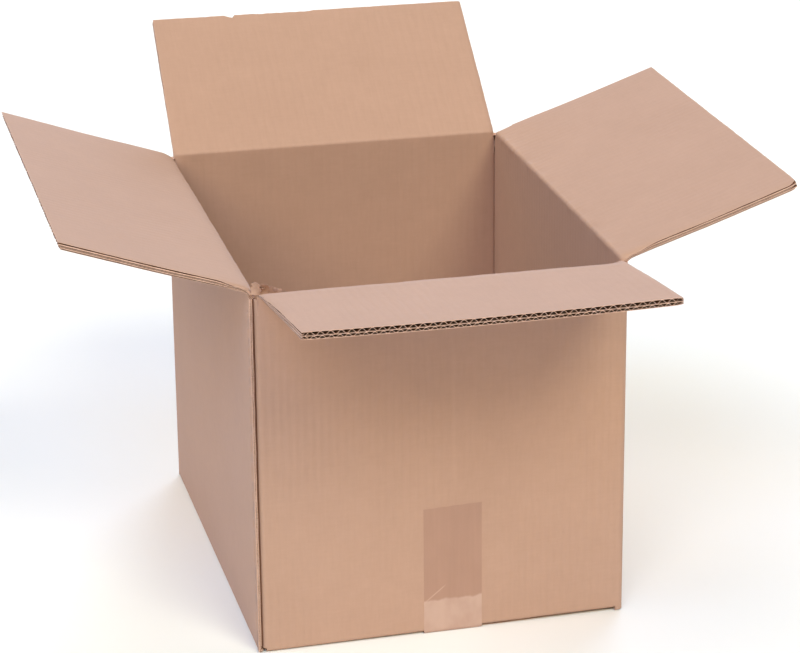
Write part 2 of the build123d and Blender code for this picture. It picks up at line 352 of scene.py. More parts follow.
def edge_material(name):
    s = Nodes(name)
    uv = s.uv("panel")
    a = s.noise(s.scaled(uv, 1400, 1400), 1.0, 3.0, 0.75)
    b = s.noise(s.scaled(uv, 90, 90, 5, 5), 1.0, 2.0, 0.6)
    val = s.add(s.mul(a, 0.7), s.mul(b, 0.3))
    col = s.mix(s.ramp(val, 0.3, 0.7), tint(1.12, 1.02, 1.0, 1.0), tint(1.62, 1.0, 1.06, 1.14))
    s.put(s.bsdf.inputs["Base Color"], col)
    s.bsdf.inputs["Roughness"].default_value = 1.0
    s.bsdf.inputs["Specular IOR Level"].default_value = 0.1
    s.bsdf.inputs["Sheen Weight"].default_value = 0.15
    s.bump(a, 0.00015, 0.8)
    return s.mat


def tape_material(name):
    s = Nodes(name)
    uv = s.uv("panel")
    u, v = s.split(uv)
    cloud = s.noise(s.scaled(uv, 40, 24), 1.0, 3.0, 0.6)
    streak = s.noise(s.scaled(uv, 420, 14, 3, 1), 1.0, 2.0, 0.5)
    fine = s.noise(s.scaled(uv, 1200, 1200, 3, 7), 1.0, 2.0, 0.7)
    val = s.add(s.mul(cloud, 0.5), s.add(s.mul(streak, 0.3), s.mul(fine, 0.2)))
    col = s.mix(val, tint(0.74, 1.02, 0.93, 0.90), tint(0.93, 1.02, 0.955, 0.95))
    # where the glue has not wetted the paper the film looks paler and pinker
    edge = s.add(v, s.mul(s.sub(s.noise(s.scaled(uv, 70, 40, 8, 2), 1.0, 2.0), 0.5), 0.006))
    low = s.ramp(edge, 0.0290, 0.0315, 1.0, 0.0)
    low = s.mul(low, s.ramp(v, -0.003, 0.004, 0.15, 1.0))
    col = s.mix(s.mul(low, s.ramp(cloud, 0.2, 0.7, 0.40, 0.80)), col, tint(1.20, 1.0, 1.09, 1.20))
    # pale crease in the film, running down to the left
    line = s.math("ABSOLUTE", s.sub(s.sub(v, 0.0385), s.mul(s.add(u, 0.0035), 0.80)))
    cre = s.mul(s.ramp(line, 0.0, 0.0012, 1.0, 0.0),
                s.mul(s.ramp(u, -0.0178, -0.012, 0.3, 1.0), s.ramp(u, -0.002, 0.003, 1.0, 0.0)))
    col = s.mix(s.mul(cre, 0.55), col, tint(1.28, 1.0, 1.06, 1.12))
    s.put(s.bsdf.inputs["Base Color"], col)
    s.put(s.bsdf.inputs["Roughness"], s.add(0.34, s.mul(streak, 0.16)))
    s.bsdf.inputs["Specular IOR Level"].default_value = 0.38
    s.bsdf.inputs["Coat Weight"].default_value = 0.12
    s.bsdf.inputs["Coat Roughness"].default_value = 0.3
    h = s.add(s.mul(cloud, 0.7), s.add(s.mul(streak, 0.3), s.mul(cre, 0.8)))
    s.bump(h, 0.00025, 0.5)
    return s.mat


# where the painted highlight streak runs down the front panel
HIGHLIGHT_STREAK_X, HIGHLIGHT_STREAK_Z0, HIGHLIGHT_STREAK_Z1 = 9.6, 118.0, 266.0
OUTER = liner_material("liner_outside", B_PITCH, painted_ridge_highlight=True)
INNER = liner_material("liner_inside", C_PITCH)
MEDIUM_SHADE_DARK = medium_and_shade_material("fluted_paper_painted_shade")
CUT = edge_material("cut_paper")
FILM = tape_material("tape_film")
MATS = [OUTER, INNER, MEDIUM_SHADE_DARK, CUT]
M_OUT, M_IN, M_MED_SHADE, M_CUT = range(4)


# ---------------------------------------------------------------------------
# boards: liners with their fluted papers between them
def flat_board(m, P, half, v0, v1, warp, uvo, uvi, seed, side_extra=None, end_extra=None,
               side_crush=None, extra_u=(), sides=(1, 1)):
    """P(u, v, w): u across the flutes, v along them to the free edge, w from the
    outside face to the inside face. side_extra(v, s) and end_extra(u, layer)
    move the cut edges."""

    def place(u, v, w):
        side = np.minimum(half - u, half + u)
        sc = crush_at(v) if side_crush is None else side_crush
        c = 1 - sc * np.exp(-np.clip(side, 0, 40) / 2.2) * (1.0 + 0.12 * noise1(v, 9, seed + 5)) \
            - 0.04 * np.exp(-(v1 - v) / 1.2)
        k = T / 2 + (w - T / 2) * c
        return u, v, k + warp(u, v)

    def edge_u(u, v, s_noise):
        # slot cuts are a little ragged
        f = smooth((np.abs(u) - (half - 4)) / 4)
        sg = np.sign(u)
        d = f * (0.12 * noise1(v, 2.5, seed + s_noise) + 0.16 * noise1(v, 14, seed + s_noise + 1))
        if side_extra is not None:
            d = d + smooth((np.abs(u) - (half - 30)) / 30) * side_extra(v, sg)
        return u + sg * d

    def end_v(u, v, layer):
        f = smooth((v - (v1 - 12)) / 12)
        d = 0.10 * noise1(u, 1.4, seed + 20 + layer) + 0.14 * noise1(u, 6, seed + 30 + layer) - 0.12
        if end_extra is not None:
            d = d + end_extra(u, layer)
        return v + f * d

    def layer_fn(layer):
        def fn(u, v, w):
            uu, vv = edge_u(u, v, 40 + layer), end_v(u, v, layer)
            # the cut paper is a little swollen
            g = 1 + 0.2 * np.exp(-np.clip(v1 - v, 0, 60) / 0.7) + 0.1 * np.exp(-np.clip(half - np.abs(u), 0, 60) / 0.7)
            w = (0, (M1 + M2) / 2, T)[layer] + (w - (0, (M1 + M2) / 2, T)[layer]) * g
            a, b, c = place(uu, vv, w)
            return P(a, b, c)
        return fn

    us = spaced(-half, half, 4.5, extra=extra_u)
    vs = spaced(v0, v1, 5.0, lo=(0, 2, 5), extra=())
    U, V = np.meshgrid(us, vs, indexing="ij")
    rim = np.stack([np.minimum(np.minimum(half - np.abs(U), v1 - V) + 0.0, 50), 50 + 0 * V], -1)
    rim[..., 1] = V + 2
    m.sheet(layer_fn(0), U, V, 0.0, LINER, (M_OUT, M_IN, M_CUT), uvo(U, V), rim, ends=(1, 1, 0, 1))
    us2 = spaced(-half, half, 12, extra=extra_u)
    vs2 = spaced(v0, v1, 18, lo=(0, 4), extra=())
    U2, V2 = np.meshgrid(us2, vs2, indexing="ij")
    m.sheet(layer_fn(1), U2, V2, M1, M2, (M_IN, M_IN, M_CUT), uvi(U2, V2), None, ends=(1, 1, 0, 1))
    m.sheet(layer_fn(2), U, V, M3, T, (M_IN, M_IN, M_CUT), uvi(U, V), rim, ends=(1, 1, 0, 1))

    # fluted papers: waves across u, open at the free edge
    for k, (lo, hi, pitch, start) in enumerate(((M0, M1, B_PITCH, 1), (M2, M3, C_PITCH, -1))):
        inner = half - 6.0
        n = int(round(2 * inner / pitch))
        fu = np.linspace(-inner, inner, n * 12 + 1)
        ph = 2 * math.pi * (fu + inner) / (2 * inner) * n
        jit = 0.35 * noise1(fu, 23, seed + 60 + k)
        amp = (hi - lo - PAPER) / 2
        prof = start * np.cos(ph + jit * 0) * amp
        slope = -start * np.sin(ph) * amp * 2 * math.pi * n / (2 * inner)
        hyp = np.minimum(np.hypot(1, slope), 1.6)
        fv = np.array([v0, v1 - 60, v1 - 20, v1 - 6, v1 - 2.5, v1 - 1.0, v1 - 0.4, v1])
        FU, FV = np.meshgrid(fu, fv, indexing="ij")
        PR = np.broadcast_to(prof[:, None], FU.shape)
        HY = np.broadcast_to(hyp[:, None], FU.shape)
        lean = 0.35 * noise1(fu, 5, seed + 70 + k)[:, None] * np.exp(-(v1 - FV) / 2.0)

        def fn(u, v, w, PR=PR, HY=HY, lo=lo, hi=hi, lean=lean, k=k):
            th = PAPER + 0.12 * np.exp(-(v1 - v) / 0.6)
            z = (lo + hi) / 2 + PR + w * th * 0.5 * HY
            z = np.clip(z, lo - 0.05, hi + 0.05)
            a, b, c = place(u + lean, end_v(u, v, 5 + k), z)
            return P(a, b, c)
        m.sheet(fn, FU, FV, -1.0, 1.0, (M_MED_SHADE, M_MED_SHADE, M_CUT), uvi(FU, FV), None, ends=(0, 0, 0, 1))
        # where they meet the slot cuts they are crushed
        for s in (-1, 1):
            if not sides[0 if s < 0 else 1]:
                continue
            ds = np.array([0, .35, .8, 1.4, 2.1, 3.0, 4.2, 6.2])
            sv = np.arange(v0, v1 + 0.01, 1.3)
            D, SV = np.meshgrid(ds, sv, indexing="ij")
            shift = 0.75 * noise1(SV, 3.2, seed + 80 + k * 7 + s) + 0.9 * noise1(SV, 45, seed + 81 + k * 7 + s)
            a_ = amp * (1 - 0.35 * np.exp(-D / 1.0))
            pr = start * np.cos(2 * math.pi * (D + shift) / pitch) * a_
            blend = smooth((D - 3.6) / 2.6)
            pr = pr * (1 - blend) + blend * start * np.cos(2 * math.pi * (D - 6.0) / pitch) * amp

            def fs(d, v, w, pr=pr, lo=lo, hi=hi, s=s, k=k):
                e = np.exp(-d / 0.7)
                z = np.clip((lo + hi) / 2 + pr * (1 - 0.8 * e) + w * (PAPER * 0.55 + 0.14 * (hi - lo) * e), lo, hi)
                u = s * (half - 0.15 - d)
                u = edge_u(u, v, 50 + k)
                a, b, c = place(u, end_v(u, v, 5 + k), z)
                return P(a, b, c)
            UVs = uvi(s * (half - D), SV)
            m.sheet(fs, D, SV, -1.0, 1.0, (M_MED_SHADE, M_MED_SHADE, M_CUT), UVs, None, ends=(1, 0, 0, 1))


def crush_at(v):
    """How far the slot cuts have pressed the board together: most at the fold."""
    return 0.64 - 0.28 * np.clip(v / FLAP, 0, 1)


def line_cross(p, d, q, e):
    t = ((q[0] - p[0]) * e[1] - (q[1] - p[1]) * e[0]) / (d[0] * e[1] - d[1] * e[0])
    return (p[0] + d[0] * t, p[1] + d[1] * t)


class Fold:
    """A wall's top fold and its flap, in 2D: a out from the wall's outer face, z up."""

    def __init__(self, name, body, node, out0, along, height, off, angle, half, z0, r_in, seed,
                 wob=0.25, uv0=0.0, sg=1, dip=0.0, low=None, v_cut=V_CUT, nip=0.0):
        self.name, self.body, self.node = name, body, node
        self.out0, self.along, self.height, self.off, self.half = out0, along, height, off, half
        self.z0, self.r_in, self.seed, self.wob, self.uv0, self.sg = z0, r_in, seed, wob, uv0, sg
        self.dip, self.low, self.v_cut, self.nip = dip, low, v_cut, nip
        a = math.radians(angle)
        self.s2 = np.array([math.sin(a), math.cos(a)])
        self.n2 = np.array([-math.cos(a), math.sin(a)])
        self.reach = XO if abs(out0[0]) > 0.5 else YO
        self.S = out0 * self.s2[0] + Z * self.s2[1]
        self.N = out0 * self.n2[0] + Z * self.n2[1]
        self.O = out0 * self.reach + Z * height

    def P(self, u, v, w):
        u, v, w = np.broadcast_arrays(u, v, w)
        return (self.O + u[..., None] * self.along + v[..., None] * self.S
                + (w + self.off)[..., None] * self.N)

    def curve(self, w, radius, kink, n=(7, 13, 8)):
        """From the wall at z0, round the fold, to the flap at v_cut."""
        start = np.array([-w, self.z0])
        end = np.array([0.0, self.height]) + self.v_cut * self.s2 + (self.off + w) * self.n2
        c = np.array(line_cross(start, (0, 1), end, tuple(self.s2)))
        turn = math.acos(self.s2[1])
        t = radius * math.tan(turn / 2)
        p0, p1 = c - np.array([0, t]), c + t * self.s2
        side = 1 if kink else -1
        ctr = p0 + np.array([radius, 0.0])
        arc = []
        for q in np.linspace(0, turn, n[1]):
            arc.append(ctr + radius * np.array([-math.cos(q), math.sin(q)]))
        g = 1 - (1 - np.linspace(0, 1, n[0], endpoint=False)) ** 1.5
        wall = [start + (p0 - start) * q for q in g]
        g = np.linspace(0, 1, n[2] + 1)[1:] ** 1.5
        fl = [p1 + (end - p1) * q for q in g]
        pts = np.array(wall + arc + fl)
        # signed length from the middle of the fold
        d = np.concatenate([[0], np.cumsum(np.linalg.norm(np.diff(pts, axis=0), axis=1))])
        mid = n[0] + n[1] // 2
        return pts, d - d[mid]

    def uvo(self, u, v):
        return np.stack([self.uv0 + self.sg * u + 0 * v, self.height + v + 0 * u], -1)

    def uvi(self, u, v):
        return np.stack([3000 + self.uv0 + self.sg * u + 0 * v, self.height + v + 0 * u], -1)


def fold_strip(F, depth_noise=1.0):
    """The folded strip of board between wall and flap, as one piece bent round the fold."""
    m = Piece()
    inn, d_in = F.curve(T, F.r_in, True)
    out, d_out = F.curve(0.0, 1.1, False)
    half, seed = F.half, F.seed
    K = len(inn)
    us = spaced(-half, half, 3.0)
    ks = np.arange(K)
    Uu, Kk = np.meshgrid(us, ks, indexing="ij")
    win = np.exp(-(d_in / 5.0) ** 2)
    win[0] = win[-1] = 0
    tang = np.gradient(inn, axis=0)
    tang /= np.linalg.norm(tang, axis=1)[:, None]
    norm = np.stack([-tang[:, 1], tang[:, 0]], 1)       # towards the inside face
    if F.low:
        # a crease crushed flat: the inside face runs lower, through these points
        c = np.array([tuple(inn[0])] + list(F.low) + [tuple(inn[-1])])
        q = np.concatenate([[0], np.cumsum(np.linalg.norm(np.diff(c, axis=0), axis=1))])
        tg = np.gradient(c, q, axis=0)
        at = (d_in - d_in[0]) / (d_in[-1] - d_in[0]) * q[-1]
        j = np.clip(np.searchsorted(q, at, side="right") - 1, 0, len(q) - 2)
        h = (q[j + 1] - q[j])[:, None]
        t = ((at - q[j]) / (q[j + 1] - q[j]))[:, None]
        delta = (c[j] * (2 * t ** 3 - 3 * t ** 2 + 1) + tg[j] * h * (t ** 3 - 2 * t ** 2 + t)
                 + c[j + 1] * (3 * t ** 2 - 2 * t ** 3) + tg[j + 1] * h * (t ** 3 - t ** 2)) - inn
    else:
        delta = -norm * (F.dip * np.exp(-(d_in / 6.0) ** 2) * smooth(np.arange(K) / 4.0)
                         * smooth((K - 1 - np.arange(K)) / 4.0))[:, None]

    def fn(u, k, w):
        f = (np.asarray(w, float) / T) * np.ones_like(u, float)
        ki = k.astype(int)
        side = half - np.abs(u)
        g = 1 - 0.75 * np.exp(-np.clip(side, 0, 50) / 3.0) * (u > 0) * (F.name == "front") + 0.04 * noise1(u, 26, seed + 9)
        inside = inn[ki] + delta[ki] * g[..., None]
        p = out[ki] * (1 - f)[..., None] + inside * f[..., None]
        # slot cut edge: rounded, crushed
        crush = crush_at(F.v_cut) * smooth(ki / 6.0) * np.exp(-np.clip(side, 0, 50) / 2.2)
        pivot = 0.5 - 0.42 * win[ki]
        mid = out[ki] + (inside - out[ki]) * pivot[..., None]
        p = p + (mid - p) * crush[..., None]
        wob = F.wob * (0.7 * noise1(u, 7, seed + 3) + 0.6 * noise1(u, 19, seed + 4))
        p = p + norm[ki] * (wob * win[ki] * f)[..., None]
        slide = F.wob * 0.8 * noise1(u, 11, seed + 6)
        p = p + tang[ki] * (slide * win[ki] * f)[..., None]
        e = smooth((np.abs(u) - (half - 4)) / 4) * np.sign(u)
        vv = d_in[ki] + F.v_cut / 2
        vf = F.v_cut + d_in[ki] - d_in[-1]
        u2 = u + e * (0.12 * noise1(vv, 2.5, seed + 42) + 0.3 * np.exp(-(d_in[ki] / 5) ** 2))
        u2 = u2 - F.nip * (u > 0) * smooth((u - (half - 12)) / 12) * np.exp(-(vf / np.where(vf > 0, 15.0, 4.0)) ** 2)
        return (F.out0 * F.reach + u2[..., None] * F.along + p[..., 0:1] * F.out0 + p[..., 1:2] * Z)

    arc_in = d_in[Kk.astype(int)]
    arc_out = d_out[Kk.astype(int)]
    v_of = F.v_cut + (arc_in - d_in[-1])
    v_oo = F.v_cut + (arc_out - d_out[-1])
    rim = np.stack([np.minimum(half - np.abs(Uu), 50), arc_in], -1)
    rim_o = np.stack([np.minimum(half - np.abs(Uu), 50), arc_out + 20], -1)
    m.sheet(fn, Uu, Kk, M3, T, (M_IN, M_IN, M_CUT), F.uvi(Uu, v_of), rim, ends=(1, 1, 0, 0))
    m.sheet(fn, Uu, Kk, 0.0, LINER, (M_OUT, M_IN, M_CUT), F.uvo(Uu, v_oo), rim_o, ends=(1, 1, 0, 0))
    us2 = spaced(-half, half, 25)
    U2, K2 = np.meshgrid(us2, ks, indexing="ij")
    m.sheet(fn, U2, K2, M1, M2, (M_IN, M_IN, M_CUT), F.uvi(U2, 0 * K2), None, ends=(1, 1, 0, 0))
    # crushed fluted papers seen at the two slot cuts
    for s in (-1, 1):
        for lo, hi, sd in ((M0, M1, 91), (M2, M3, 92)):
            ws = np.linspace(lo, hi, 5)
            KK, WW = np.meshgrid(ks, ws, indexing="ij")
            rec = 2.0 + 0.7 * noise2(KK, WW, 1.3, seed + sd) + 0.5 * noise1(KK, 3, seed + sd + s)
            P = fn(s * (half - rec), KK, WW)
            m.grid(P, F.uvi(WW * 3, KK * 2.0), M_MED_SHADE, s * F.along)
            DD, KD = np.meshgrid(np.array([0, .5, 1.2, 2.4]), ks, indexing="ij")

            def band(d, k, w, lo=lo, hi=hi, s=s, sd=sd):
                z = (lo + hi) / 2 + 0.12 * (hi - lo) * noise1(k, 2.3, seed + sd + 5) + w * (0.12 + 0.15 * (hi - lo) * np.exp(-d / 0.9))
                return fn(s * (half - 0.15 - d), k, z)
            m.sheet(band, DD, KD, -1.0, 1.0, (M_MED_SHADE, M_MED_SHADE, M_CUT), F.uvi(DD, KD), None, ends=(1, 0, 0, 0))
    return m


FRONT = Fold("front", "front", "front_flap", -Y, X, SHORT_Z, SHORT_OFF, A_FRONT, SHORT_HALF, SHORT_CUT, 6.0, 101,
             0.25, 0.0, 1, low=((-5.6, 297.3), (-4.6, 301.6), (-4.2, 305.2), (-3.4, 308.0), (-1.8, 309.9), (0.6, 311.2), (5.0, 312.75),
                                (12.0, 315.1), (19.0, 317.3)), v_cut=28.0)
BACK = Fold("back", "back", "back_flap", Y, -X, SHORT_Z, SHORT_OFF, A_BACK, SHORT_HALF, SHORT_CUT, 3.0, 202,
            0.22, 720.0, 1)
LEFT = Fold("left", "left", "left_flap", -X, -Y, LONG_Z, LONG_OFF, A_LEFT, LONG_HALF, LONG_CUT, 4.0, 303,
            0.22, 1300.0, 1, dip=2.0)
RIGHT = Fold("right", "right", "right_flap", X, Y, LONG_Z, LONG_OFF, A_RIGHT, LONG_HALF, LONG_CUT, 3.6, 404,
             0.85, 360.0, 1, nip=2.6)


def bow(F, a, off, b, c):
    def warp(u, v):
        t = (v - F.v_cut) / (FLAP - F.v_cut)
        t2 = smooth(t * 2.0)
        return t2 * (a * (u / F.half) ** 2 + off + b * noise2(u, v, 90, F.seed + 1) * t
                     + c * noise2(u, v, 33, F.seed + 2))
    return warp


def back_end(u, layer):
    x = -u                                # the flap's u runs towards -X
    d = np.zeros_like(u)
    w = smooth((x + 79.6) / 6.0) * smooth((-69.0 - x) / 1.6)
    d -= w * (2.9 + 0.8 * noise1(x, 2.2, 77 + layer))
    r = smooth((x + 50) / 4) * smooth((6 - x) / 4)
    d -= r * (0.5 + 0.5 * noise1(x, 3.0, 79 + layer))
    r = smooth((x + 112) / 4) * smooth((-84 - x) / 4)
    d -= r * (0.25 + 0.3 * noise1(x, 3.0, 83 + layer))
    return d


def back_side(v, sg):
    """The left edge runs in a little towards the free edge."""
    return np.where(sg > 0, -3.9 * np.clip((v - V_CUT) / (FLAP - V_CUT), 0, 1), 0.0)


def front_side(v, sg):
    """The free edge sits a little to the right of the fold."""
    t = np.clip((v - 28.0) / (FLAP - 28.0), 0, 1)
    return np.where(sg > 0, 0.0, -3.3) * t


def long_side(v, sg):
    """The long flaps clear the short walls' inside faces when they close."""
    return -2.1 * smooth((v - V_CUT) / 14)


def left_end(u, layer):
    """Cut on the slant, so that the outside papers stop short."""
    return -{0: 4.2, 5: 3.2, 1: 2.2, 6: 1.1, 2: 0.0}[layer] + 0 * u


def right_end(u, layer):
    e = RIGHT.half + u                    # from the front corner
    return -(3.3 - 0.5 * (layer == 0)) * np.exp(-(np.clip(e, 0, 60) / 2.6) ** 2) \
        - 0.7 * np.exp(-np.clip(e, 0, 60) / 9)


def right_side(v, sg):
    return np.where(sg < 0, -1.6 * np.exp(-(np.clip(FLAP - v, 0, 60) / 3.0) ** 2),
                    -RIGHT.nip * np.exp(-(v / 15.0) ** 2)) + long_side(v, sg)


flap_specs = (
    (FRONT, bow(FRONT, 1.8, -0.7, 0.12, 0.04), front_side, None, ()),
    (BACK, bow(BACK, 0.3, 0.1, 0.30, 0.08), back_side, back_end, np.arange(56, 88, 0.8)),
    (LEFT, bow(LEFT, 0.0, -1.05, 0.14, 0.05), long_side, left_end, ()),
    (RIGHT, bow(RIGHT, 0.0, -1.05, 0.14, 0.05), right_side, right_end, ()),
)
for F, warp, side, end, extra in flap_specs:
    m = Piece()
    flat_board(m, F.P, F.half, F.v_cut, FLAP, warp, F.uvo, F.uvi, F.seed, side, end, extra_u=extra)
    m.make(F.name + "_flap_board", MATS, F.body, F.node)
    ob = fold_strip(F).make(F.name + "_fold_strip", MATS)
    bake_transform(ob)


# ---------------------------------------------------------------------------
# the carton: walls, glue tab, base flaps
def arc_pts(cx, cy, r, a0, a1, n):
    return [(cx + r * math.cos(math.radians(q)), cy + r * math.sin(math.radians(q))) for q in np.linspace(a0, a1, n)]


def seg(p, q, n, skip=0):
    return [(p[0] + (q[0] - p[0]) * t, p[1] + (q[1] - p[1]) * t) for t in np.linspace(0, 1, n + 1)[skip:]]


body = Piece()
RC = 4.6
END = -195.8                                # the left wall's raw end
RAW_IN = 4.0                                # its inside paper is pressed out by this much
RAW_TOP = 307.5
# outside path: left wall from its raw end to the back, round to the front wall
path = []


def add(points, tag):
    for p in points:
        path.append((p[0], p[1], tag))


ys = spaced(END, -LONG_HALF, 2.0, lo=(0, .3, .9, 1.8, 3), hi=(0,))
add([(-XO, y) for y in ys], "corner")
add(seg((-XO, -LONG_HALF), (-XO, LONG_HALF), 60), "left")
add(seg((-XO, LONG_HALF), (-XO, YO - RC), 1), "corner")
add(arc_pts(-XO + RC, YO - RC, RC, 180, 90, 9)[1:], "corner")
add(seg((-XO + RC, YO), (-SHORT_HALF, YO), 2, 1), "corner")
add(seg((-SHORT_HALF, YO), (SHORT_HALF, YO), 48), "back")
add(seg((SHORT_HALF, YO), (XO - RC, YO), 1), "corner")
add(arc_pts(XO - RC, YO - RC, RC, 90, 0, 9)[1:], "corner")
add(seg((XO, YO - RC), (XO, LONG_HALF), 1, 1), "corner")
add(seg((XO, LONG_HALF), (XO, -LONG_HALF), 60), "right")
add(seg((XO, -LONG_HALF), (XO, -YO + RC), 1), "corner")
add(arc_pts(XO - RC, -YO + RC, RC, 0, -90, 9)[1:], "corner")
add(seg((XO - RC, -YO), (SHORT_HALF, -YO), 1, 1), "corner")
RF = 4.4
FRONT_X0 = -152.7                           # the front wall's rounded left edge
add(seg((SHORT_HALF, -YO), (FRONT_X0 + RF, -YO), 56), "front")
add(arc_pts(FRONT_X0 + RF, -YO + RF, RF, 270, 180, 10)[1:], "front")
add([(FRONT_X0, -YO + RF + 1.2)], "front")
pts = np.array([(p[0], p[1]) for p in path])
tags = [p[2] for p in path]


def front_bottom(x):
    """The front wall hangs lowest at its left end."""
    return 0.3 + (x + XI) / (2 * XI) * 2.6


def zlim(p, tag):
    if tag == "left" or tag == "right":
        return ZB + 4.2, LONG_CUT
    if tag == "back":
        return 1.6 + 3.4, SHORT_CUT
    if tag == "front":
        return front_bottom(p[0]) + 3.4, (SHORT_CUT if p[0] > -SHORT_HALF - 0.01 else RAW_TOP - 1.0)
    return CORNER_BOTTOM, (RAW_TOP if p[0] < 0 and p[1] < 0 else CORNER_TOP)


zl = np.array([zlim(p, t) for p, t in zip(pts, tags)])
tan = np.gradient(pts, axis=0)
# repeated points at the slots: take the direction from the neighbour that moves
for i in range(len(pts)):
    if np.linalg.norm(tan[i]) < 1e-9:
        tan[i] = pts[min(i + 1, len(pts) - 1)] - pts[max(i - 2, 0)]
tan /= np.linalg.norm(tan, axis=1)[:, None]
inward = np.stack([tan[:, 1], -tan[:, 0]], 1)
d_path = np.concatenate([[0], np.cumsum(np.linalg.norm(np.diff(pts, axis=0), axis=1))])


def uv_plan(p, tag_i):
    """Continuous sideways position on the sheet, matching each flap's own."""
    x, y = p
    if tag_i == "front":
        return 0.0 + x
    if tag_i == "right":
        return 360.0 + y
    if tag_i == "back":
        return 720.0 - x
    if tag_i == "left":
        return 1300.0 - y
    if x > 0 and y < 0:
        return 360.0 + y if x > XO - RC / 2 else 0.0 + x
    if x > 0:
        return 360.0 + y if x > XO - RC / 2 else 720.0 - x
    if y > 0:
        return 720.0 - x if y > YO - RC / 2 else 1300.0 - y
    return 1300.0 - y


us_plan = np.array([uv_plan(p, t) for p, t in zip(pts, tags)])
tz = np.concatenate([[0, .002, .006, .012, .02], np.linspace(.04, .96, 34), [.98, .988, .994, .998, 1]])
I, TZ = np.meshgrid(np.arange(len(pts)), tz, indexing="ij")


def wall_fn(i, t, w):
    i = i.astype(int)
    z = zl[i, 0] + t * (zl[i, 1] - zl[i, 0])
    p = pts[i].copy()
    # the raw end of the left wall is pressed thinner
    e = np.exp(-np.clip(p[..., 1] - END, 0, 60) / 2.0) * (p[..., 0] < -XO + 0.5) * (p[..., 1] < -150)
    p = p + inward[i] * (w + e * (0.3 + 0.15 * noise1(z, 12, 501)))[..., None]
    # cut edge of the raw end
    first = (i == 0)
    p[..., 1] = p[..., 1] + first * (0.15 * noise1(z, 2.0, 511) + 0.2 * noise1(z, 17, 512))
    return np.concatenate([p, z[..., None]], -1)


zz = zl[I.astype(int), 0] + TZ * (zl[I.astype(int), 1] - zl[I.astype(int), 0])
UVW = np.stack([us_plan[I.astype(int)], zz], -1)
edge_d = np.full(I.shape, 50.0)
edge_d = np.minimum(edge_d, d_path[I.astype(int)])
corner = np.array([t == "corner" for t in tags])[I.astype(int)]
edge_d = np.where(corner, np.minimum(edge_d, CORNER_TOP - zz), edge_d)
fold_d = np.where(corner, 50.0, 50.0)
RIMW = np.stack([edge_d, fold_d], -1)
body.sheet(wall_fn, I, TZ, 0.0, LINER, (M_OUT, M_IN, M_CUT), UVW, RIMW, ends=(1, 0, 1, 1))

# inside path, with a tight pinched groove in each corner
ipath = []


def iadd(points, tag):
    for p in points:
        ipath.append((p[0], p[1], tag))


def pinch(cx, cy, dx, dy):
    """Corner at (cx, cy); the path comes in along dx (unit, towards the corner)
    and leaves along dy."""
    c = np.array([cx, cy], float)
    dx, dy = np.array(dx, float), np.array(dy, float)
    diag = dx - dy
    out_ = []
    for back, deep in ((3.0, 0.0), (1.9, -0.12), (1.2, 0.05), (0.7, 1.0), (0.5, 3.2)):
        out_.append(c - dx * back + (-dy) * 0 + (diag / 2) * 0 + (-dy) * 0 + (dx * 0) + np.array([0, 0]) + (-(dy)) * deep * 0
                    + (dx - dy) * deep * 0.5 * (back < 0.8) + (-dy) * deep * (back >= 0.8) * 0)
    left_ = []
    for back, deep in ((0.5, 3.2), (0.7, 1.0), (1.2, 0.05), (1.9, -0.12), (3.0, 0.0)):
        left_.append(c + dy * back + (dx - dy) * deep * 0.5 * (back < 0.8))
    return out_, left_


iadd([(-XI, END), (-XI, END + 0.3), (-XI, END + 1.2), (-XI, END + 3), (-XI, -LONG_HALF)], "corner")
iadd(seg((-XI, -LONG_HALF), (-XI, YI - 3), 60), "left")
a_, b_ = pinch(-XI, YI, (0, 1), (1, 0))
iadd(a_, "left")
iadd(b_, "back")
iadd(seg((-XI + 3, YI), (XI - 3, YI), 48, 1), "back")
a_, b_ = pinch(XI, YI, (1, 0), (0, -1))
iadd(a_, "back")
iadd(b_, "right")
iadd(seg((XI, YI - 3), (XI, -YI + 3), 60, 1), "right")
a_, b_ = pinch(XI, -YI, (0, -1), (-1, 0))
iadd(a_, "right")
iadd(b_, "front")
iadd(seg((XI - 3, -YI), (-XI + TAB_T, -YI), 48, 1), "front")
ip = np.array([(p[0], p[1]) for p in ipath])
itag = [p[2] for p in ipath]
izl = np.array([(ZB + T - 0.2, LONG_CUT if t in ("left", "right") else (RAW_TOP if t == "corner" else SHORT_CUT))
                for t in itag])
itan = np.gradient(ip, axis=0)
for i in range(len(ip)):
    if np.linalg.norm(itan[i]) < 1e-9:
        itan[i] = ip[min(i + 1, len(ip) - 1)] - ip[max(i - 2, 0)]
itan /= np.linalg.norm(itan, axis=1)[:, None]
outward = np.stack([-itan[:, 1], itan[:, 0]], 1)
iu = np.array([3000 + uv_plan(p, t) for p, t in zip(ip, itag)])
II, IT = np.meshgrid(np.arange(len(ip)), tz, indexing="ij")


def in_fn(i, t, w):
    i = i.astype(int)
    z = izl[i, 0] + t * (izl[i, 1] - izl[i, 0])
    p = ip[i].copy()
    e = np.exp(-np.clip(p[..., 1] - END, 0, 60) / 3.0) * (p[..., 0] < -XI + 0.5) * (p[..., 1] < -150)
    p = p + outward[i] * (w + (RAW_IN + 0.25 * noise1(z, 12, 503)) * e)[..., None]
    return np.concatenate([p, z[..., None]], -1)


izz = izl[II.astype(int), 0] + IT * (izl[II.astype(int), 1] - izl[II.astype(int), 0])
IUV = np.stack([iu[II.astype(int)], izz], -1)
body.sheet(in_fn, II[4:], IT[4:], 0.0, LINER, (M_IN, M_IN, M_CUT), IUV[4:], None, ends=(0, 1, 0, 1))
# at the raw end the inside liner's outer face takes the darkened fluted-paper material: painted shade in the gap
body.sheet(in_fn, II[:5], IT[:5], 0.0, LINER, (M_MED_SHADE, M_IN, M_CUT), IUV[:5], None, ends=(1, 0, 0, 1))


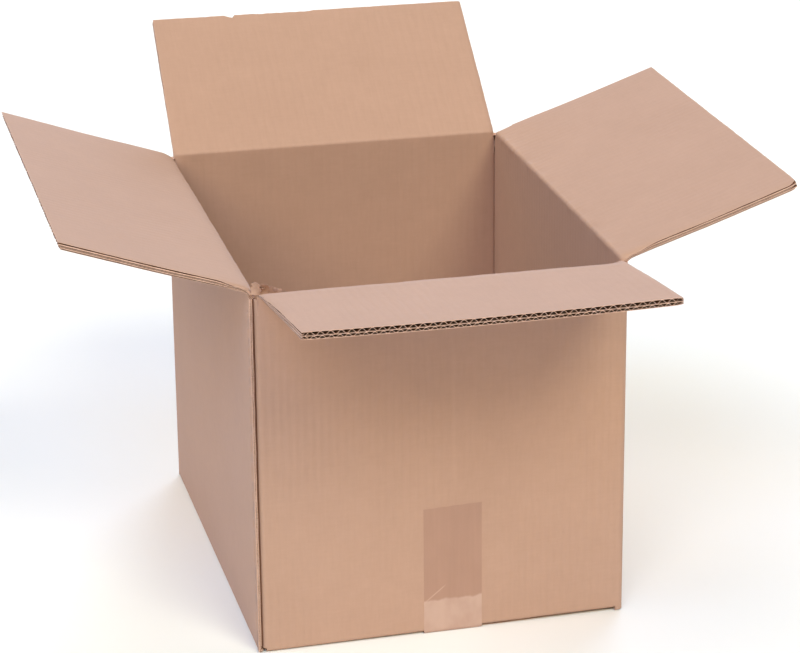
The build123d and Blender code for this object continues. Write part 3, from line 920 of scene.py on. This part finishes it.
# corner tops and undersides: the cut papers stand a little proud of the crushed flutes
def corner_cap(outer_pts, inner_pts, z, up, seed):
    o, i_ = np.array(outer_pts, float), np.array(inner_pts, float)
    n = max(len(o), 9)

    def resample(p, n):
        d = np.concatenate([[0], np.cumsum(np.linalg.norm(np.diff(p, axis=0), axis=1))])
        q = np.linspace(0, d[-1], n)
        return np.stack([np.interp(q, d, p[:, 0]), np.interp(q, d, p[:, 1])], 1)
    o, i_ = resample(o, n), resample(i_, n)
    f = np.array([0, .05, .12, .25, .38, .42, .46, .6, .8, .93, .95, 1.0])
    dep = np.array([0, 0, .9, 1.3, .5, 0.1, .6, 1.4, 1.2, .7, 0, 0])
    A = o[:, None, :] * (1 - f)[None, :, None] + i_[:, None, :] * f[None, :, None]
    rng = np.random.default_rng(seed)
    jit = rng.uniform(-.25, .25, A.shape[:2])
    zz_ = z - up * (dep[None, :] + jit * (dep[None, :] > 0.3))
    P = np.concatenate([A, zz_[..., None]], -1)
    body.grid(P, np.stack([A[..., 0] + 5000, A[..., 1]], -1), M_CUT, up * Z)


for sx, sy in ((1, 1), (-1, 1), (1, -1)):
    o = [(XO, LONG_HALF - 0.4)] + arc_pts(XO - RC, YO - RC, RC, 0, 90, 7) + [(SHORT_HALF - 0.4, YO)]
    i_ = [(XI, LONG_HALF - 0.4), (XI + 0.1, YI + 1.2), (XI - 0.2, YI + 0.2), (SHORT_HALF - 0.4, YI)]
    o = [(sx * a, sy * b) for a, b in o]
    i_ = [(sx * a, sy * b) for a, b in i_]
    corner_cap(o, i_, CORNER_TOP - 0.1, 1, 31 + sx + 2 * sy)
    corner_cap(o, i_, CORNER_BOTTOM + 0.1, -1, 37 + sx + 2 * sy)
corner_cap([(-XO + 0.3, END), (-XO + 0.1, END + 2.5), (-XO, -LONG_HALF + 0.4)],
           [(-XI - 4.0, END), (-XI - 1.8, END + 2.5), (-XI - 1.0, -LONG_HALF + 0.4)], RAW_TOP - 0.1, 1, 41)
corner_cap([(-XO + 0.3, END), (-XO + 0.1, END + 2.5), (-XO, -BASE_HALF)],
           [(-XI - 4.0, END), (-XI - 1.8, END + 2.5), (-XI - 0.5, -BASE_HALF)], CORNER_BOTTOM + 0.1, -1, 43)


# raw end of the left wall: middle paper and the fluted papers between
def raw_end():
    zs = np.arange(CORNER_BOTTOM + 0.2, RAW_TOP - 0.2, 1.3)
    ds = np.array([0, .4, .9, 1.6, 2.4, 3.4, 5.0, 8.0])
    D, ZZ = np.meshgrid(ds, zs, indexing="ij")

    def xw(d, w):
        lo = -XO + 0.3 * np.exp(-d / 2.0)
        hi = -XI - RAW_IN * np.exp(-d / 3.0)
        return lo + (hi - lo) * (w / T)

    def mid(d, z, w):
        y = END + 0.15 + d + 0.25 * noise1(z, 2.2, 521) * np.exp(-d / 1.0)
        x = xw(d, w) + 0.12 * noise1(z, 6, 522)
        return np.stack([x, y, z + 0 * d], -1)
    uv = np.stack([4000 + D, ZZ], -1)
    body.sheet(mid, D, ZZ, M1, M2, (M_IN, M_IN, M_CUT), uv, None, ends=(1, 0, 1, 1))
    for k, (lo, hi, pitch, start, sd) in enumerate(((M0, M1, B_PITCH, 1, 531), (M2, M3, C_PITCH, -1, 541))):
        amp = (hi - lo - PAPER) / 2
        shift = 0.8 * noise1(ZZ, 3.0, sd) + 0.9 * noise1(ZZ, 60, sd + 1)
        pr = start * np.cos(2 * math.pi * (D + shift) / pitch) * amp * (1 - 0.3 * np.exp(-D / 1.2))

        def fs(d, z, w, pr=pr, lo=lo, hi=hi, sd=sd):
            th = PAPER + 0.16 * np.exp(-d / 0.5)
            e = np.exp(-d / 0.7)
            q = np.clip((lo + hi) / 2 + pr * (1 - 0.8 * e) + w * (th * 0.55 + 0.16 * (hi - lo) * e), lo, hi)
            y = END + 0.1 + d + 0.2 * noise1(z, 1.8, sd + 3) * np.exp(-d / 1.0)
            return np.stack([xw(d, q), y, z + 0 * d], -1)
        body.sheet(fs, D, ZZ, -1.0, 1.0, (M_MED_SHADE, M_MED_SHADE, M_CUT), uv, None, ends=(1, 0, 1, 1))


raw_end()

# base folds: outside liner of each wall turns under its base flap
V_BASE = 12.0


def base_fold(side, half, zf, z_wall, uvsign):
    """side: 'left' 'right' 'front' 'back'. The outer liner from the wall, round
    the fold, on to the base flap's underside at V_BASE."""
    long_ = side in ("left", "right")
    out0 = {"left": -X, "right": X, "front": -Y, "back": Y}[side]
    along = {"left": -Y, "right": Y, "front": X, "back": -X}[side]
    reach = XO if long_ else YO
    under = ZB if long_ else ZB + T + 0.4
    us_ = spaced(-half, half, 6.0)
    n = 12
    ks_ = np.arange(n + 6)
    Uu, Kk = np.meshgrid(us_, ks_, indexing="ij")

    def fn(u, k, w):
        xw_ = u * along[0] if not long_ else 0 * u
        z_b = zf(xw_)
        r = 3.0 + 0 * z_b
        kk = np.clip(k / (n - 1.0), 0, 1)
        ang = kk * math.pi / 2
        rr = r - w
        a = -r + rr * np.cos(ang)
        z = z_b + r - rr * np.sin(ang)
        start = z_wall(xw_)
        z = np.where(k == 0, start, z)
        a = np.where(k == 0, -w, a)
        t = np.clip((k - (n - 1)) / 6.0, 0, 1)
        a = a - t * (V_BASE - r)
        z = z + smooth(t) * (under - z_b)
        z = z + 0.12 * noise1(u, 14, 610) * (t > 0) * (t < 1) * long_ * 0
        return (out0 * reach + u[..., None] * along + a[..., None] * out0 + z[..., None] * Z)
    uv = np.stack([{"left": 1300.0, "right": 360.0, "front": 0.0, "back": 720.0}[side] + Uu,
                   4.0 - Kk * 0.9], -1)
    rim = np.stack([np.minimum(half - np.abs(Uu), 50), (Kk - 5) * 0.9], -1)
    body.sheet(fn, Uu, Kk, 0.0, LINER, (M_OUT, M_IN, M_CUT), uv, rim, ends=(1, 1, 0, 0))
    # crushed board seen at the two ends of the fold
    for s in (-1, 1):
        KK, WW = np.meshgrid(ks_, np.array([0.3, 1.2, 2.2, 3.2, 4.6, 6.0]), indexing="ij")
        Uc = s * (half - 0.6 + 0.4 * noise2(KK, WW, 1.4, 620 + s))
        body.grid(fn(Uc, KK, np.minimum(WW, 2.9)), np.stack([WW * 2 + 5200, KK * 1.0], -1), M_MED_SHADE, s * along)


base_fold("left", BASE_HALF, lambda x: ZB + 0 * x, lambda x: ZB + 4.2 + 0 * x, 1)
base_fold("right", BASE_HALF, lambda x: ZB + 0 * x, lambda x: ZB + 4.2 + 0 * x, 1)
base_fold("front", SHORT_HALF, lambda x: front_bottom(x), lambda x: front_bottom(x) + 3.4, 1)
base_fold("back", SHORT_HALF, lambda x: 1.6 + 0 * x, lambda x: 5.0 + 0 * x, 1)


# base flaps
def base_board(m, side, half, under, seed, side_extra=None):
    out0 = {"left": -X, "right": X, "front": -Y, "back": Y}[side]
    along = {"left": -Y, "right": Y, "front": X, "back": -X}[side]
    reach = XO if side in ("left", "right") else YO
    O = out0 * reach + Z * under
    off = {"left": 1300.0, "right": 360.0, "front": 0.0, "back": 720.0}[side]

    def P(u, v, w):
        u, v, w = np.broadcast_arrays(u, v, w)
        return O + u[..., None] * along - v[..., None] * out0 + w[..., None] * Z

    def uvo(u, v):
        return np.stack([off + u + 0 * v, -v + 0 * u], -1)

    def uvi(u, v):
        return np.stack([3000 + off + u + 0 * v, -v + 0 * u], -1)
    flat_board(m, P, half, V_BASE, FLAP, lambda u, v: 0 * u * v, uvo, uvi, seed, side_extra,
               end_extra=(lambda u, l: np.minimum(0, 0.0 * u)), side_crush=0.12)


long_base, short_base = Piece(), Piece()
base_board(long_base, "left", BASE_HALF, ZB, 710)
base_board(long_base, "right", BASE_HALF, ZB, 720, lambda v, sg: np.where(sg < 0, 3.8, 0.0) * smooth((v - 14) / 90))
base_board(short_base, "front", SHORT_HALF, ZB + T + 0.4, 730)
base_board(short_base, "back", SHORT_HALF, ZB + T + 0.4, 740)


# inside: each short wall's liner turns on to its base flap
def inside_fold(sy):
    us_ = spaced(-SHORT_HALF, SHORT_HALF, 12.0)
    ks_ = np.arange(9)
    U_, K_ = np.meshgrid(us_, ks_, indexing="ij")
    top = ZB + 2 * T + 0.4
    r = 1.6
    ang = np.clip((K_ - 1) / 6.0, 0, 1) * math.pi / 2
    y = YI - r + r * np.cos(ang)
    z = top + r - r * np.sin(ang)
    z = np.where(K_ == 0, top + 6, z)
    y = np.where(K_ == 8, YO - V_BASE - 0.2, y)
    P = np.stack([U_, sy * (y - 0.06), z + 0.02], -1)
    uv = np.stack([3000 + (720 - U_ if sy > 0 else U_), 12.0 - K_ * 1.2], -1)
    out = np.array([0, -sy * 1.0, 1.0])
    body.grid(P, uv, M_IN, out)


inside_fold(-1)
inside_fold(1)


# glue tab, folded round from the front wall and glued inside the left wall
def glue_tab():
    z0_, z1_ = ZB + 2 * T + 2.5, SHORT_CUT - 1.0
    ys_ = spaced(-YI, -YI + TAB_W, 4.0, lo=(0, 1), hi=(0, .3, .8, 1.6, 3))
    ts = np.concatenate([[0, .004, .012], np.linspace(.04, .96, 30), [.988, .996, 1]])
    A, B = np.meshgrid(ys_, ts, indexing="ij")

    def fn(y, t, w):
        k = np.clip((y + YI - 4) / (TAB_W - 4), 0, 1)
        lo, hi = z0_ + 15 * k, z1_ - 15 * k
        z = lo + t * (hi - lo)
        # cut edge pressed down towards the wall
        d = -YI + TAB_W - y
        press = 1 - 0.40 * np.exp(-np.clip(d, 0, 60) / 2.2)
        x = -XI + 0.05 + (w / T) * TAB_T * press
        yy = y + 0.25 * noise1(z, 5, 801) * np.exp(-d / 2)
        return np.stack([x + 0 * z, yy + 0 * z, z], -1)
    uv = np.stack([3000 - XI - (A + YI) - 6, z0_ + B * (z1_ - z0_)], -1)
    rim = np.stack([np.clip(-YI + TAB_W - A, 0, 50), 50 + 0 * A], -1)
    body.sheet(fn, A, B, M3, T, (M_IN, M_IN, M_CUT), uv, rim, ends=(0, 1, 1, 1))
    body.sheet(fn, A, B, M1, M2, (M_IN, M_IN, M_CUT), uv, None, ends=(0, 1, 1, 1))
    body.sheet(fn, A, B, 0.0, LINER, (M_OUT, M_IN, M_CUT), uv, None, ends=(0, 1, 1, 1))
    # crushed papers in its cut edge
    for lo, hi, sd in ((M0, M1, 811), (M2, M3, 812)):
        W_, B_ = np.meshgrid(np.linspace(lo, hi, 5), np.linspace(0.002, 0.998, 180), indexing="ij")
        y = -YI + TAB_W - (0.8 + 0.5 * noise2(B_ * 250, W_, 1.5, sd))
        P = fn(y, B_, W_)
        body.grid(P, np.stack([W_ * 2 + 5300, B_ * 280], -1), M_MED_SHADE, Y)


glue_tab()
body.make("carton_shell", MATS, "carton", "carton_body")
long_base.make("long_base_flaps", MATS, "carton")
short_base.make("short_base_flaps", MATS, "carton")


# ---------------------------------------------------------------------------
# torn scraps of paper at the slot beside the glued corner
def scraps():
    m = Piece()
    rng = np.random.default_rng(12)

    def curl(c, d, up, length, width, bend, twist, seed, mat=M_CUT):
        """A torn strip from c along d, curling towards up."""
        c, d, up = np.array(c, float), np.array(d, float), np.array(up, float)
        d /= np.linalg.norm(d)
        up -= d * up.dot(d)
        up /= np.linalg.norm(up)
        sd = np.cross(d, up)
        ts, ws = np.linspace(0, 1, 15), np.linspace(-1, 1, 7)
        A, B = np.meshgrid(ts, ws, indexing="ij")

        def fn(t, b, w):
            th = bend * t
            x = length * np.sin(th) / bend if abs(bend) > 1e-6 else length * t
            h = length * (1 - np.cos(th)) / bend
            wd = width / 2 * (1 - 0.75 * t ** 3) * (1 + 0.45 * noise1(t * 10, 1.3, seed))
            q = b * wd
            tw = twist * t
            rag = 0.9 * noise2(t * 9, b * 4, 1.0, seed + 1)
            off = w * 0.16 + 0.25 * noise2(t * 7, b * 3, 1.2, seed + 2)
            return (c + x[..., None] * d + (h + q * np.sin(tw) + off)[..., None] * up
                    + (q * np.cos(tw) + rag * 0.5)[..., None] * sd)
        uv = np.stack([6000 + A * length, B * width / 2], -1)
        m.sheet(fn, A, B, -1.0, 1.0, (mat, mat, M_CUT), uv, None)
    curl((-150.5, -193.4, 309.5), (0.1, 0.0, 1.0), (-0.3, -0.9, 0.1), 13.0, 9.0, 0.7, 0.4, 1, M_IN)
    curl((-146.0, -193.2, 309.5), (0.45, 0.0, 0.85), (-0.2, -0.9, 0.2), 12.0, 9.0, 1.0, -0.5, 5, M_IN)
    curl((-141.5, -193.0, 309.8), (0.6, 0.0, 0.7), (-0.1, -0.9, 0.3), 11.0, 7.0, 1.3, 0.8, 9, M_IN)
    curl((-137.5, -193.0, 310.3), (0.75, 0.0, 0.5), (0.0, -0.9, 0.4), 9.0, 5.0, 1.6, 1.0, 13, M_IN)
    curl((-144.5, -192.6, 311.0), (0.15, 0.05, 0.95), (-0.2, -0.9, 0.2), 9.0, 6.0, 1.9, -0.8, 17, M_IN)
    curl((-134.0, -193.0, 310.8), (0.9, 0.0, 0.35), (0.1, -0.9, 0.3), 7.0, 3.6, 1.4, 0.6, 21, M_IN)
    curl((151.2, -194.0, 309.0), (-0.2, 0.0, 0.9), (0.3, -0.9, 0.1), 4.0, 3.4, 1.1, 0.5, 25)
    return m


scraps().make("torn_scraps", MATS, "carton")


# ---------------------------------------------------------------------------
# packing tape
def tape():
    m = Piece()
    e = 0.07
    prof = [(-YO - e, TAPE_FRONT)]
    prof += [(-YO - e, z) for z in np.linspace(TAPE_FRONT, 6, 30)[1:]]
    prof += [(-YO - e, 4.0), (-YO - e + 0.02, 2.6), (-YO + 0.10, 1.3), (-YO + 0.55, 0.45), (-YO + 1.3, 0.06),
             (-YO + 3, 0.0)]
    prof += [(y, 0.0) for y in np.linspace(-YO + 10, YO - 10, 30)]
    prof += [(YO - 3, 0.0), (YO - 1.3, 0.06), (YO - 0.55, 0.45), (YO - 0.10, 1.3), (YO + e - 0.02, 2.6), (YO + e, 4.0)]
    prof += [(YO + e, z) for z in np.linspace(6, TAPE_BACK, 18)]
    prof = np.array(prof)
    d = np.concatenate([[0], np.cumsum(np.linalg.norm(np.diff(prof, axis=0), axis=1))])
    tg = np.gradient(prof, axis=0)
    tg /= np.linalg.norm(tg, axis=1)[:, None]
    nr = np.stack([tg[:, 1], -tg[:, 0]], 1)      # towards the board
    xs = spaced(TAPE_X0, TAPE_X1, 4.0, lo=(0, .4, 1.5), hi=(0, .4, 1.5))
    A, B = np.meshgrid(xs, np.arange(len(prof)), indexing="ij")
    total = d[-1]

    def fn(x, k, w):
        k = k.astype(int)
        p = prof[k].copy()
        # the two torn ends are cut on the dispenser's teeth, a little askew
        f0 = np.exp(-d[k] / 6.0)
        z_up = ((x - TAPE_X0) / (TAPE_X1 - TAPE_X0)) * 0.0
        dz = f0 * (0.45 * np.abs(((x * 0.8) % 2.0) - 1.0) - 0.3 - 3.0 * (1 - (x - TAPE_X0) / (TAPE_X1 - TAPE_X0)) * TAPE_TILT)
        f1 = np.exp(-(total - d[k]) / 6.0)
        dz1 = f1 * (0.45 * np.abs(((x * 0.8) % 2.0) - 1.0) - 0.4)
        p[..., 1] = p[..., 1] + dz + dz1 + z_up
        q = nr[k] * w
        return np.stack([x + 0 * p[..., 0], p[..., 0] + q[..., 0], p[..., 1] + q[..., 1]], -1)
    v = np.where(B < 1e9, TAPE_FRONT - d[B.astype(int)], 0)
    uv = np.stack([A, v], -1)
    m.sheet(fn, A, B, -0.02, 0.05, (0, 0, 0), uv, None)
    return m


TAPE_TILT = 0.5
tape().make("tape_strip", [FILM], "carton", "packing_tape", slot="tape")


# ---------------------------------------------------------------------------
# floor, world, lights
def floor():
    s = Nodes("pale_floor")
    s.bsdf.inputs["Base Color"].default_value = rgb(0.93, 0.93, 0.93)
    s.bsdf.inputs["Roughness"].default_value = 0.9
    s.bsdf.inputs["Specular IOR Level"].default_value = 0.1
    me = bpy.data.meshes.new("floor")
    r = 7.0
    me.from_pydata([(-r, -r, 0), (r, -r, 0), (r, r, 0), (-r, r, 0)], [], [(0, 1, 2, 3)])
    me.materials.append(s.mat)
    ob = bpy.data.objects.new("floor", me)
    bpy.context.scene.collection.objects.link(ob)


floor()
scene = bpy.context.scene
world = bpy.data.worlds.new("studio")
scene.world = world
world.use_nodes = True
bg = world.node_tree.nodes.get("Background") or world.node_tree.nodes.new("ShaderNodeBackground")
wo = world.node_tree.nodes.get("World Output") or world.node_tree.nodes.new("ShaderNodeOutputWorld")
world.node_tree.links.new(bg.outputs[0], wo.inputs[0])
bg.inputs[0].default_value = (1.0, 1.0, 1.0, 1.0)
bg.inputs[1].default_value = 0.06
scene.view_settings.view_transform = "Standard"
scene.view_settings.look = "None"
scene.view_settings.exposure = 0.0
scene.view_settings.gamma = 1.0


def sun(name, az, el, spread, color):
    """A wide soft lamp far off: az from the front panel's side towards +X."""
    li = bpy.data.lights.new(name, "SUN")
    k = max(color)
    li.energy = math.pi * k
    li.color = tuple(c / k for c in color)
    li.angle = math.radians(spread)
    ob = bpy.data.objects.new(name, li)
    a, e = math.radians(az), math.radians(el)
    z = np.array([math.sin(a) * math.cos(e), -math.cos(a) * math.cos(e), math.sin(e)])
    x = np.cross([0, 0, 1.0], z)
    x /= np.linalg.norm(x)
    y = np.cross(z, x)
    loc = z * 3.0
    ob.matrix_world = Matrix([[x[0], y[0], z[0], loc[0]], [x[1], y[1], z[1], loc[1]],
                              [x[2], y[2], z[2], loc[2]], [0, 0, 0, 1]])
    scene.collection.objects.link(ob)


K = 1.22
for name, az, el, spread, c in (
        ("front_key", 20, 45, 25, (0.404, 0.395, 0.300)),
        ("front_left_low", -30, 30, 28, (0.246, 0.198, 0.116)),
        ("front_left_high", -30, 50, 30, (0.068, 0.129, 0.235)),
        ("left_side", -80, 50, 35, (0.262, 0.262, 0.235)),
        ("right_side", 80, 50, 35, (0.050, 0.030, 0.035)),
        ("back_top", 180, 55, 40, (0.201, 0.170, 0.110)),
        ("back_right_low", 150, 20, 35, (0.332, 0.424, 0.560)),
        ("back_left_low", -150, 20, 35, (0.001, 0.025, 0.100))):
    sun(name, az, el, spread, tuple(K * q for q in c))

# ---------------------------------------------------------------------------
# camera, fitted to the photograph's edges; pixels for an 800 by 653 picture
AZ, EL, ROLL = math.radians(-15.90), math.radians(20.16), math.radians(0.26)
F_PX, CX, CY = 2892.12, 512.64, 337.86
LOC = (-0.54246, -2.30560, 1.06009)
back = np.array([math.sin(AZ) * math.cos(EL), -math.cos(AZ) * math.cos(EL), math.sin(EL)])
cx_ = np.cross([0, 0, 1.0], back)
cx_ /= np.linalg.norm(cx_)
cy_ = np.cross(back, cx_)
x2 = math.cos(ROLL) * cx_ + math.sin(ROLL) * cy_
y2 = -math.sin(ROLL) * cx_ + math.cos(ROLL) * cy_
cam = bpy.data.cameras.new("camera")
cam.sensor_fit = "HORIZONTAL"
cam.sensor_width = 36.0
cam.lens = F_PX / 800.0 * 36.0
cam.shift_x = -(CX - 400.0) / 800.0
cam.shift_y = (CY - 326.5) / 800.0
cam.clip_start, cam.clip_end = 0.05, 60.0
cam_ob = bpy.data.objects.new("camera", cam)
cam_ob.matrix_world = Matrix([[x2[0], y2[0], back[0], LOC[0]], [x2[1], y2[1], back[1], LOC[1]],
                              [x2[2], y2[2], back[2], LOC[2]], [0, 0, 0, 1]])
scene.collection.objects.link(cam_ob)
scene.camera = cam_ob

bpy.context.view_layer.update()
